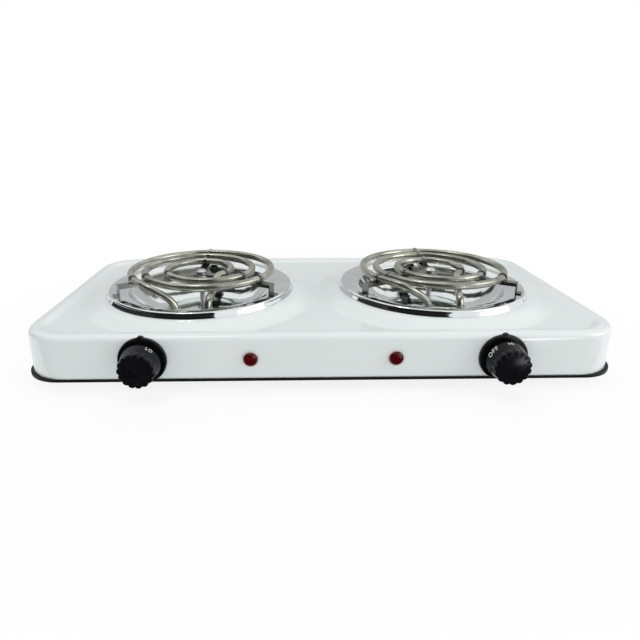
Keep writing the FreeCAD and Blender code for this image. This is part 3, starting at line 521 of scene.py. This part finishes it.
def pan_profile():
    """Flared edge, quarter round, flat ring, crease, slope, bowl arc and floor, from outside inwards."""
    foot = PAN_TOP - FLANGE_HEIGHT
    shoulder = PAN_RADIUS - FLANGE_FLARE
    turn = np.linspace(0, math.pi / 2, ROUND_POINTS)
    flare = np.column_stack([np.linspace(PAN_RADIUS, shoulder, FLARE_POINTS),
                             np.linspace(foot, PAN_TOP - FLANGE_ROUND, FLARE_POINTS)])
    over = np.column_stack([shoulder - FLANGE_ROUND + FLANGE_ROUND * np.cos(turn),
                            PAN_TOP - FLANGE_ROUND + FLANGE_ROUND * np.sin(turn)])
    ring_radii = np.linspace(shoulder - FLANGE_ROUND, CREASE_RADIUS, RING_POINTS)[1:]
    ring = np.column_stack([ring_radii, np.full(len(ring_radii), PAN_TOP)])
    share = np.linspace(0, 1, SLOPE_POINTS)[1:]
    slope = np.column_stack([CREASE_RADIUS + (BOWL_EDGE - CREASE_RADIUS) * share,
                             PAN_TOP - SLOPE_DROP * share ** SLOPE_CURVE])
    span = BOWL_EDGE - BOWL_FLOOR
    arc = (span ** 2 + BOWL_DEPTH ** 2) / (2 * BOWL_DEPTH)
    angle = np.linspace(math.asin(span / arc), 0, BOWL_POINTS)[1:]
    floor = PAN_TOP - SLOPE_DROP - BOWL_DEPTH
    bowl = np.column_stack([BOWL_FLOOR + arc * np.sin(angle), floor + arc * (1 - np.cos(angle))])
    flat_radii = np.linspace(BOWL_FLOOR, BOLT_HOLE, FLOOR_POINTS)[1:]
    flat = np.column_stack([flat_radii, np.full(len(flat_radii), floor)])
    return np.vstack([flare, over[1:], ring, slope, bowl, flat])


def make_pan(side):
    """The pan's profile carried round the burner's axis, with a hole for each leg of the coil."""
    profile = pan_profile()
    points = turned_points(profile, PAN_SEGMENTS)
    quads = grid_quads(len(profile), PAN_SEGMENTS, closed=True)
    flat = points.reshape(-1, 3)
    for leg in (-1, 1):
        flat, quads = open_hole(flat, quads, np.array([leg * LEG_X, -LEG_FORWARD]), LEG_HOLE)
    flat = flat + np.array([*BURNER[side], 0])
    piece = new_piece("chrome_pan_" + side, flat, quads, CHROME,
                      stands_for=["drip_pan_" + side], smooth_angle=55)
    give_thickness(piece, PAN_SHEET)


def bent_run(points, bend):
    """Points along straight runs joined by tangent arcs: each corner turns on an arc inside it.

    An arc takes at most a set share of the shorter run beside its corner."""
    points = np.asarray(points, float)
    run = [points[:1]]
    for before, corner, after in zip(points, points[1:], points[2:]):
        arriving = (corner - before) / np.linalg.norm(corner - before)
        leaving = (after - corner) / np.linalg.norm(after - corner)
        half = math.acos(np.clip(arriving @ leaving, -1, 1)) / 2
        shorter = min(np.linalg.norm(corner - before), np.linalg.norm(after - corner))
        reach = min(bend * math.tan(half), BEND_SHARE * shorter)
        radius = reach / math.tan(half)
        inward = (leaving - arriving) / np.linalg.norm(leaving - arriving)
        centre = corner + inward * radius / math.cos(half)
        angles = np.linspace(-half, half, BEND_POINTS)[:, None]
        along = (leaving + arriving) / np.linalg.norm(leaving + arriving)
        run.append(centre + radius * (np.sin(angles) * along - np.cos(angles) * inward))
    run.append(points[-1:])
    return np.vstack(run)


def on_round(radius, angles):
    """Points on a circle about the burner's axis, level with the coil."""
    angles = np.atleast_1d(angles)
    return np.column_stack([radius * np.cos(angles), radius * np.sin(angles), COIL_LEVEL + 0 * angles])


def coil_route():
    """Outer lead up from its leg, half turns that close in by turns left and right, inner lead down.

    Each lead follows its end turn a little further round, leaves it along the tangent and bends down
    to its leg."""
    level = COIL_LEVEL
    outer, inner = COIL_RADII[0], COIL_RADII[-1]
    foot = coil_low[2]
    lead = PAN_TOP - LEG_TOP_DROP
    leave = on_round(outer, math.pi + LEAD_TURN)[0]
    heading = np.array([math.sin(LEAD_TURN), -math.cos(LEAD_TURN), 0])
    bend = leave + heading * (LEG_FORWARD + leave[1]) / math.cos(LEAD_TURN)
    parts = [bent_run([(-LEG_X, -LEG_FORWARD, foot), (-LEG_X, -LEG_FORWARD, lead), bend, leave], OUTER_BEND),
             on_round(outer, math.pi + np.linspace(LEAD_TURN, 0, LEAD_POINTS)[1:])]
    for step, (start, end) in enumerate(zip(COIL_RADII, COIL_RADII[1:])):
        way = -1 if step % 2 == 0 else 1
        angle = np.linspace(0, math.pi, TURN_POINTS)[1:, None]
        radius = (start + end) / 2
        middle = way * (start - end) / 2
        parts.append(np.hstack([middle + way * radius * np.cos(angle), -way * radius * np.sin(angle),
                                level + 0 * angle]))
    parts.append(on_round(inner, np.linspace(0, -LEAD_TURN, LEAD_POINTS)[1:]))
    leave = parts[-1][-1]
    turn = leave + np.array([-math.sin(LEAD_TURN), -math.cos(LEAD_TURN), 0]) * INNER_RUN
    dip = (LEG_X + DIP_SIDE, -inner - DIP_FORWARD, level - 2 * TUBE - DIP_GAP)
    corners = [leave, turn, dip, (LEG_X, -LEG_FORWARD, lead), (LEG_X, -LEG_FORWARD, foot)]
    parts.append(bent_run(corners, INNER_BEND)[1:])
    return np.vstack(parts)


def even_points(route, spacing):
    """The same line with points at even steps along it."""
    steps = np.linalg.norm(np.diff(route, axis=0), axis=1)
    reached = np.concatenate([[0], np.cumsum(steps)])
    wanted = np.linspace(0, reached[-1], int(reached[-1] / spacing) + 1)
    return np.column_stack([np.interp(wanted, reached, route[:, axis]) for axis in range(3)])


def tube_points(route, radius, sides):
    """Rings of points round a line.

    A leaning direction that no stretch follows, made square to the line, starts each ring."""
    heading = np.gradient(route, axis=0)
    heading /= np.linalg.norm(heading, axis=1)[:, None]
    lean = np.array([0.3, 0.2, 0.93])
    first = lean - heading * (heading @ lean)[:, None]
    first /= np.linalg.norm(first, axis=1)[:, None]
    second = np.cross(heading, first)
    angle = np.linspace(0, 2 * math.pi, sides, endpoint=False)[None, :, None]
    return route[:, None] + radius * (np.cos(angle) * first[:, None] + np.sin(angle) * second[:, None])


def make_coil(side):
    """The heater: one tube along the coil's route, closed at both ends."""
    route = even_points(coil_route(), COIL_SPACING)
    rings = tube_points(route, TUBE, COIL_SIDES)
    caps = [np.repeat(route[end][None, None], COIL_SIDES, axis=1) for end in (0, -1)]
    rings = np.concatenate([caps[0], rings, caps[1]])
    quads = grid_quads(len(rings), COIL_SIDES, closed=True)
    points = rings.reshape(-1, 3) + np.array([*BURNER[side], 0])
    new_piece("heater_tube_" + side, points, quads, SHEATH,
              stands_for=["heating_coil_" + side])


# Knobs

def skirt_radius_at(out):
    """Radius of the conical skirt at a distance out from the wall."""
    share = (out - KNOB_BACK) / (KNOB_FRONT - KNOB_BACK)
    return SKIRT_RADIUS + (SKIRT_FRONT_RADIUS - SKIRT_RADIUS) * share


def make_knob(side):
    """Skirt and grip as one surface: the larger of a cone and a ring of round lobes that fades in.

    Round the axis the lobes follow a power of a sine without its sign. Rows run from the bore's end out of
    the hollow back, over the skirt's edge to the front, round its edge and up a low dome."""
    segments = LOBES * POINTS_PER_LOBE
    angle = np.linspace(0, 2 * math.pi, segments, endpoint=False)[None, :]
    brow = KNOB_FRONT - FACE_RISE
    out_side = np.linspace(KNOB_BACK + SKIRT_EDGE, brow - FRONT_ROUND, SIDE_ROWS)
    turn = np.linspace(0, math.pi / 2, ROUND_POINTS)[1:]
    out = np.concatenate([[KNOB_BACK], out_side, brow - FRONT_ROUND + FRONT_ROUND * np.sin(turn)])
    inset = np.concatenate([[SKIRT_EDGE], np.zeros(len(out_side)), FRONT_ROUND * (1 - np.cos(turn))])
    lobe = GRIP_RADIUS - GRIP_DEPTH * (1 - np.abs(np.sin(LOBES / 2 * angle)) ** LOBE_FULLNESS)
    grip_start = KNOB_FRONT - GRIP_LENGTH
    grown = ease((out - grip_start) / GRIP_RUN_IN)[:, None]
    cone = skirt_radius_at(out)[:, None]
    radius = soft_max(cone, SKIRT_FRONT_RADIUS * (1 - grown) + lobe * grown, GRIP_BLEND)
    radius = radius - inset[:, None]
    share = np.linspace(1, 0, FACE_ROWS)[1:, None]
    face_radius = radius[-1:] * share
    face_out = brow + FACE_RISE * (1 - (face_radius / radius[-1].max()) ** 2)
    hollow_radius = SKIRT_RADIUS - KNOB_SKIRT_WALL
    hollow = np.array([(0, KNOB_BORE_DEPTH), (KNOB_BORE, KNOB_BORE_DEPTH), (KNOB_BORE, KNOB_HOLLOW),
                       (hollow_radius, KNOB_HOLLOW), (hollow_radius, 0)])
    out = np.vstack([KNOB_BACK + hollow[:, 1:] + 0 * angle, out[:, None] + 0 * radius, face_out])
    radius = np.vstack([hollow[:, :1] + 0 * angle, radius, face_radius])
    points = np.stack([radius * np.cos(angle), radius * np.sin(angle), out], axis=-1)
    quads = grid_quads(len(out), segments, closed=True)
    placed = to_front(points, SIDES[side] * KNOB_X, KNOB_Z)
    new_piece("grip_knob_" + side, placed, quads, KNOB_PLASTIC, body=side + "_knob",
              stands_for=["knob_" + side], smooth_angle=50)


def make_bezel(side):
    """A rounded, dished profile carried round the knob's axis.

    Near the top its outer edge swells by half an ellipse to a pointer. Points below the foot's level are
    raised to it, which makes the foot flat."""
    inner = BEZEL_RADIUS - BEZEL_RING
    turn = np.linspace(0, math.pi / 2, BEZEL_ROUND_POINTS)
    edge = np.column_stack([BEZEL_RADIUS - BEZEL_ROUND + BEZEL_ROUND * np.cos(turn),
                            BEZEL_HEIGHT - BEZEL_ROUND + BEZEL_ROUND * np.sin(turn)])
    dish = [(inner, BEZEL_HEIGHT), (inner - BEZEL_SLANT, BEZEL_FLOOR),
            (BEZEL_BORE, BEZEL_FLOOR), (BEZEL_BORE, 0)]
    profile = np.vstack([[(BEZEL_RADIUS, 0)], edge, dish, [(BEZEL_RADIUS, 0)]])
    points = turned_points(profile, BEZEL_SEGMENTS, turn=math.pi / 2)
    round_angle = np.arange(BEZEL_SEGMENTS) * 2 * math.pi / BEZEL_SEGMENTS
    from_top = np.abs((round_angle + math.pi) % (2 * math.pi) - math.pi)
    swell = POINTER_REACH * np.sqrt(np.clip(1 - (from_top / POINTER_SPAN) ** 2, 0, 1))
    outer = (profile[:, 0] > inner)[:, None]
    points[..., 1] += outer * swell
    placed = to_front(points, SIDES[side] * KNOB_X, KNOB_Z)
    placed[..., 2] = np.maximum(placed[..., 2], BASE_TOP + BEZEL_FOOT_GAP)
    quads = grid_quads(len(profile), BEZEL_SEGMENTS, closed=True)
    new_piece("pointer_bezel_" + side, placed, quads, BEZEL_PLASTIC,
              stands_for=["knob_bezel_" + side])


def make_mark(side, text, clockwise, height):
    """Thin lettering bent onto the skirt: along it for x and from front to back for y, just proud of it."""
    curve = bpy.data.curves.new("mark", "FONT")
    curve.body = text
    curve.align_x = "CENTER"
    curve.align_y = "CENTER"
    curve.size = height
    curve.space_character = MARK_SPACING
    curve.extrude = MARK_HALF_DEPTH
    maker = bpy.data.objects.new("mark", curve)
    bpy.context.scene.collection.objects.link(maker)
    mesh = bpy.data.meshes.new_from_object(maker.evaluated_get(bpy.context.evaluated_depsgraph_get()))
    bpy.data.objects.remove(maker)
    flat = np.zeros(len(mesh.vertices) * 3)
    mesh.vertices.foreach_get("co", flat)
    flat = flat.reshape(-1, 3)
    out = KNOB_BACK + MARK_FROM_BACK - flat[:, 1] * MARK_SQUEEZE
    radius = skirt_radius_at(out) + MARK_LIFT + flat[:, 2]
    angle = math.radians(clockwise) + flat[:, 0] / SKIRT_RADIUS
    bent = np.stack([radius * np.sin(angle), radius * np.cos(angle), out], axis=-1)
    mesh.vertices.foreach_set("co", to_front(bent, SIDES[side] * KNOB_X, KNOB_Z).ravel())
    mesh.materials.clear()
    mesh.materials.append(PRINT)
    piece = bpy.data.objects.new("print_" + text.lower() + "_" + side, mesh)
    bpy.context.scene.collection.objects.link(piece)
    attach(piece, side + "_knob")


def make_lens(side):
    """A low dome carried round the lamp's axis: height follows a sine, radius a power of the cosine."""
    shoulder = np.linspace(0, math.pi / 2, LENS_POINTS)
    profile = np.column_stack([LENS_RADIUS * np.cos(shoulder) ** LENS_FULLNESS,
                               LENS_BACK + (LENS_FRONT - LENS_BACK) * np.sin(shoulder)])
    profile = np.vstack([[(0, LENS_BACK)], profile])
    points = to_front(turned_points(profile, LENS_SEGMENTS), SIDES[side] * LENS_X, LENS_Z)
    quads = grid_quads(len(profile), LENS_SEGMENTS, closed=True)
    new_piece("red_lens_" + side, points, quads, LENS_RED,
              stands_for=["lamp_lens_" + side])


# Stage: lengths in metres, levels of grey and white from 0 to 1
FLOOR_REACH = 8.0
FLOOR_GREY = 0.86
FLOOR_ROUGHNESS = 0.9
SHADOW_NEAR = 0.14
SHADOW_FAR = 0.42
NEAR_WHITE = 0.86
WORLD_FILL = 0.6
WORLD_SEEN = 1.0

# Cards that only show in reflections: a corner, two sides and the brightness
CARDS = {
    "front_card": ((-3.0, -1.0, 0), (3.3, 0, 0), (0, 0, 2.4), 0.015),
    "left_card": ((-1.5, 0.7, 0), (0, -1.7, 0), (0, 0, 1.3), 0.03),
    "back_card": ((-3.0, 1.8, 0), (6.0, 0, 0), (0, 0, 1.1), 0.56),
    "floor_card": ((-0.6, -1.0, 0.001), (0.9, 0, 0), (0, 0.885, 0), 0.02),
    "glint_card": ((0.175, -0.225, 0.002), (0.12, -0.125, 0), (0.03, 0.028, 0), 12),
}

# Lights: place, point aimed at, size, watts and whether they show in reflections
LIGHTS = {
    "right_light": ((1.4, -0.45, 0.8), (0, 0, 0.04), 0.9, 7.2, True),
    "top_light": ((-0.2, 0.2, 1.7), (0, 0, 0.04), 1.4, 6.6, False),
    "front_fill": ((-0.1, -1.6, 0.5), (0, 0, 0.03), 1.2, 3, False),
    "ceiling_lamp_left": ((-0.47, -0.07, 1.5), (0, 0, 0.04), 0.09, 1.0, True),
    "ceiling_lamp_right": ((-0.33, -0.07, 1.5), (0, 0, 0.04), 0.09, 1.0, True),
}


def make_floor():
    """A plain pale floor: it keeps a faint shadow near the object and is plain white further out."""
    corners = [(-FLOOR_REACH, -FLOOR_REACH, 0), (FLOOR_REACH, -FLOOR_REACH, 0), (FLOOR_REACH, FLOOR_REACH, 0),
               (-FLOOR_REACH, FLOOR_REACH, 0)]
    mesh = bpy.data.meshes.new("floor")
    mesh.from_pydata(corners, [], [(0, 1, 2, 3)])
    floor = bpy.data.objects.new("floor", mesh)
    bpy.context.scene.collection.objects.link(floor)
    material, tree, shader, place = new_material("pale_floor")
    shader.inputs["Base Color"].default_value = (FLOOR_GREY, FLOOR_GREY, FLOOR_GREY, 1)
    shader.inputs["Roughness"].default_value = FLOOR_ROUGHNESS
    shader.inputs["Specular IOR Level"].default_value = 0.0
    white = tree.nodes.new("ShaderNodeEmission")
    length = tree.nodes.new("ShaderNodeVectorMath")
    length.operation = "LENGTH"
    tree.links.new(place, length.inputs[0])
    away = tree.nodes.new("ShaderNodeMapRange")
    away.interpolation_type = "SMOOTHSTEP"
    away.inputs["From Min"].default_value = SHADOW_NEAR
    away.inputs["From Max"].default_value = SHADOW_FAR
    away.inputs["To Min"].default_value = NEAR_WHITE
    tree.links.new(length.outputs["Value"], away.inputs["Value"])
    blend = tree.nodes.new("ShaderNodeMixShader")
    tree.links.new(away.outputs["Result"], blend.inputs["Fac"])
    tree.links.new(shader.outputs["BSDF"], blend.inputs[1])
    tree.links.new(white.outputs["Emission"], blend.inputs[2])
    tree.links.new(blend.outputs["Shader"], tree.nodes["Material Output"].inputs["Surface"])
    mesh.materials.append(material)


def reflection_card(name, start, along, across, level):
    """A flat studio card from a corner along two sides, evenly bright, that only shows in reflections."""
    start, along, across = np.array(start), np.array(along), np.array(across)
    mesh = bpy.data.meshes.new(name)
    mesh.from_pydata([start, start + along, start + along + across, start + across], [], [(0, 1, 2, 3)])
    card = bpy.data.objects.new(name, mesh)
    bpy.context.scene.collection.objects.link(card)
    material, _, shader, _ = new_material(name)
    shader.inputs["Base Color"].default_value = (0, 0, 0, 1)
    shader.inputs["Specular IOR Level"].default_value = 0
    shader.inputs["Emission Color"].default_value = (level, level, level, 1)
    shader.inputs["Emission Strength"].default_value = 1
    mesh.materials.append(material)
    card.visible_camera = False
    card.visible_diffuse = False
    card.visible_shadow = False


def light_world():
    """White to the camera, mirrors and glass; a plain soft level for everything else."""
    world = bpy.data.worlds.new("studio")
    bpy.context.scene.world = world
    world.use_nodes = True
    tree = world.node_tree
    background = tree.nodes["Background"]
    path = tree.nodes.new("ShaderNodeLightPath")
    seen = path.outputs["Is Camera Ray"]
    for output in ("Is Glossy Ray", "Is Transmission Ray"):
        add = tree.nodes.new("ShaderNodeMath")
        add.operation = "MAXIMUM"
        tree.links.new(seen, add.inputs[0])
        tree.links.new(path.outputs[output], add.inputs[1])
        seen = add.outputs[0]
    tree.links.new(spread(tree, seen, WORLD_FILL, WORLD_SEEN), background.inputs["Strength"])
    background.inputs["Color"].default_value = (1, 1, 1, 1)


def area_light(name, place, aim, size, power, reflected):
    """A square soft light aimed at a point; reflected says whether mirrors show it."""
    data = bpy.data.lights.new(name, "AREA")
    data.energy = power
    data.size = size
    light = bpy.data.objects.new(name, data)
    bpy.context.scene.collection.objects.link(light)
    light.location = place
    light.rotation_euler = (Vector(aim) - light.location).to_track_quat("-Z", "Y").to_euler()
    light.visible_glossy = reflected


# Camera: solved from the photograph's edges, in the 640 by 640 frame
PHOTO_SIZE = 640
FOCAL_PIXELS = 520.5
CENTRE_PIXEL = (295.65, 293.55)
CAMERA_FROM_HOUSING = (-25.8 * MM, -467.45 * MM, 191.2 * MM)
CAMERA_PITCH = 0.3179
CAMERA_YAW = 0.015
CAMERA_ROLL = -0.0024
SENSOR_WIDTH = 36
CLIP_START = 0.01


def make_camera():
    """The photograph's camera, with its shift in shares of the frame."""
    data = bpy.data.cameras.new("camera")
    data.sensor_width = SENSOR_WIDTH
    data.lens = FOCAL_PIXELS / PHOTO_SIZE * SENSOR_WIDTH
    data.shift_x = (PHOTO_SIZE / 2 - CENTRE_PIXEL[0]) / PHOTO_SIZE
    data.shift_y = (CENTRE_PIXEL[1] - PHOTO_SIZE / 2) / PHOTO_SIZE
    data.clip_start = CLIP_START
    camera = bpy.data.objects.new("camera", data)
    bpy.context.scene.collection.objects.link(camera)
    camera.location = (CAMERA_FROM_HOUSING[0] + HOUSING_CENTRE[0], CAMERA_FROM_HOUSING[1] + HOUSING_CENTRE[1],
                       CAMERA_FROM_HOUSING[2])
    ahead = Vector((math.sin(CAMERA_YAW) * math.cos(CAMERA_PITCH),
                    math.cos(CAMERA_YAW) * math.cos(CAMERA_PITCH), -math.sin(CAMERA_PITCH)))
    level = Vector((math.cos(CAMERA_YAW), -math.sin(CAMERA_YAW), 0))
    upward = level.cross(ahead)
    across = math.cos(CAMERA_ROLL) * level + math.sin(CAMERA_ROLL) * upward
    camera.rotation_euler = Matrix((across, ahead.cross(across) * -1, -ahead)).transposed().to_euler()
    bpy.context.scene.camera = camera


finish_cad_nodes()
make_housing()
for name in SIDES:
    make_pan(name)
    make_coil(name)
    make_knob(name)
    make_bezel(name)
    make_lens(name)
for mark in MARKS:
    make_mark(*mark)
make_floor()
for name, values in CARDS.items():
    reflection_card(name, *values)
light_world()
for name, values in LIGHTS.items():
    area_light(name, *values)
make_camera()
bpy.context.scene.view_settings.view_transform = "Standard"
